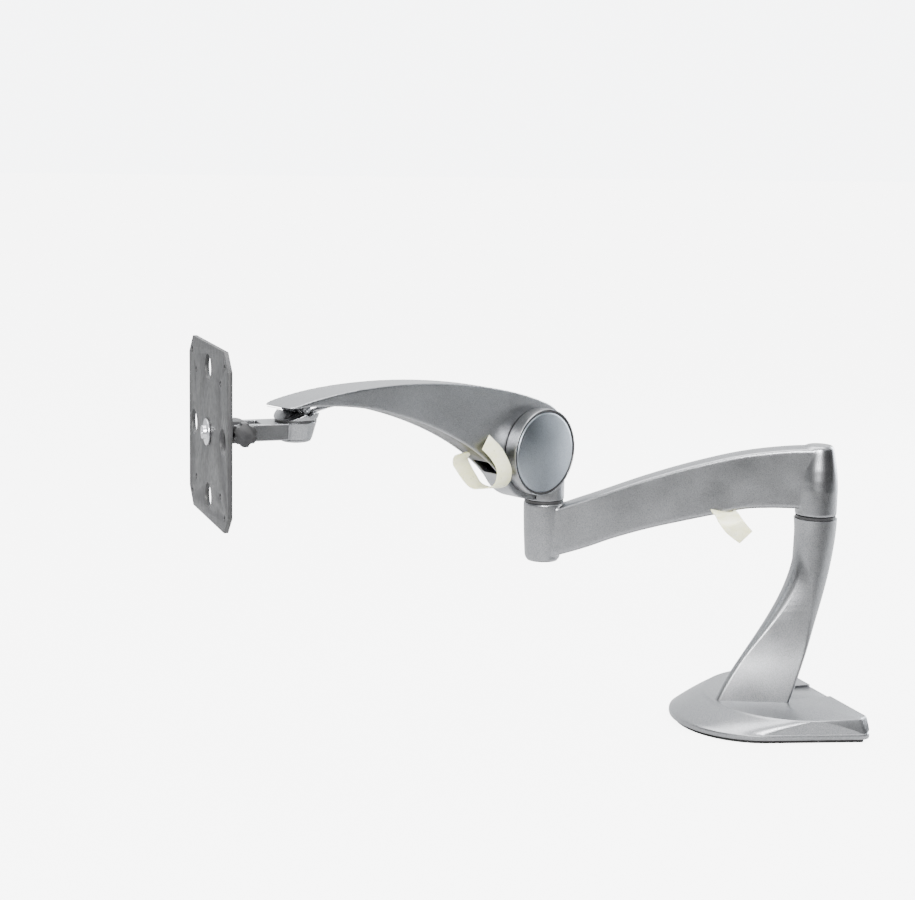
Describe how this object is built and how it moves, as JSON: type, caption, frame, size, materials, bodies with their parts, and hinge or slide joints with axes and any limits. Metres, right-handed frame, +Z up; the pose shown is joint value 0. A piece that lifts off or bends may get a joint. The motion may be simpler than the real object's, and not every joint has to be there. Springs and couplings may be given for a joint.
{
  "type": "monitor arm",
  "caption": "Desk monitor arm with a curved column, a swivelling lower arm, a sprung upper arm and a tilting, turning screen plate.",
  "frame": {"origin": "on the desk surface, under the axis of the column", "axes": "+Z up; the nose of the base points to -Y and the desk's rear edge lies towards +Y"},
  "size_m": [0.2078, 0.489, 0.2979],
  "materials": {
    "silver_casting": "satin silver-grey metallic paint with a fine grain",
    "silver_cap": "satin silver-grey metallic paint, slightly bluer",
    "black_plastic": "fine matte moulded plastic",
    "black_steel": "black powder coat with a fine texture",
    "black_rubber": "matte rubber",
    "steel": "zinc-plated steel",
    "bronze": "sintered bronze",
    "cream_plastic": "translucent cream nylon"
  },
  "bodies": {
    "base": {"base_casting": "silver_casting", "base_pad": "black_rubber", "base_plate": "black_steel", "base_plate_screws": "steel", "rear_cover": "silver_casting", "column_casting": "silver_casting", "column_bolts": "steel", "column_bush": "bronze", "column_ring": "black_plastic", "column_set_screw": "steel"},
    "lower_arm": {"column_shaft": "steel", "lower_arm_casting": "silver_casting", "lower_strap": "cream_plastic", "elbow_bush": "bronze", "elbow_ring": "black_plastic", "elbow_plug": "black_plastic"},
    "hub": {"elbow_shaft": "steel", "elbow_washer": "steel", "elbow_screw": "steel", "hub_knuckle": "silver_casting", "hub_axle": "steel", "hub_cap": "silver_cap", "hub_cap_seal": "black_rubber", "hub_crank": "steel", "hub_nut": "steel", "lift_spring": "steel", "link_rear_pin": "steel"},
    "upper_arm": {"upper_arm_shell": "silver_casting", "upper_arm_bushes": "bronze", "upper_arm_underside": "black_plastic", "hub_cover_far": "silver_cap", "upper_strap": "cream_plastic", "tip_pin": "steel"},
    "level_link": {"level_link": "steel"},
    "tip": {"tip_knuckle": "silver_casting", "tip_ring": "black_plastic", "swivel_shaft": "steel", "collar_nut": "steel", "link_front_pin": "steel"},
    "collar": {"swivel_collar": "silver_casting", "swivel_bush": "bronze", "collar_cap": "silver_casting", "tilt_bolt": "steel", "tilt_knob": "black_plastic", "tilt_washers": "steel"},
    "tilt_head": {"tilt_block": "black_steel", "turn_spigot": "steel", "turn_washer": "black_plastic", "turn_screw": "steel"},
    "screen_plate": {"vesa_plate": "black_steel"}
  },
  "joints": [
    {"name": "base_pan", "type": "hinge", "parent": "base", "child": "lower_arm", "pos_m": [0, 0, 0.158], "axis": [0, 0, 1], "range_deg": [-119.5, 180.5]},
    {"name": "elbow_pan", "type": "hinge", "parent": "lower_arm", "child": "hub", "pos_m": [-0.10608, -0.18008, 0.157], "axis": [0, 0, 1], "range_deg": [-165.5, 54.5]},
    {"name": "lift", "type": "hinge", "parent": "hub", "child": "upper_arm", "pos_m": [-0.10416, -0.19839, 0.1989], "axis": [-0.9063, -0.4226, 0], "range_deg": [-23, 10]},
    {"name": "link_swing", "type": "hinge", "parent": "hub", "child": "level_link", "pos_m": [-0.10404, -0.1906, 0.1949], "axis": [-0.9063, -0.4226, 0], "range_deg": [-23, 10]},
    {"name": "tip_level", "type": "hinge", "parent": "upper_arm", "child": "tip", "pos_m": [-0.0067, -0.40738, 0.2522], "axis": [-0.9063, -0.4226, 0], "range_deg": [-10, 23]},
    {"name": "head_pan", "type": "hinge", "parent": "tip", "child": "collar", "pos_m": [-0.0067, -0.40738, 0.2362], "axis": [0, 0, 1], "range_deg": [-60, 110]},
    {"name": "head_tilt", "type": "hinge", "parent": "collar", "child": "tilt_head", "pos_m": [-0.0067, -0.44738, 0.2379], "axis": [-1, 0, 0], "range_deg": [-20, 45]},
    {"name": "screen_turn", "type": "hinge", "parent": "tilt_head", "child": "screen_plate", "pos_m": [-0.0067, -0.46638, 0.2379], "axis": [0, -1, 0], "range_deg": [-90, 90]}
  ],
  "couplings": [
    {"joint": "link_swing", "follows": "lift", "ratio": 1},
    {"joint": "tip_level", "follows": "lift", "ratio": -1}
  ]
}
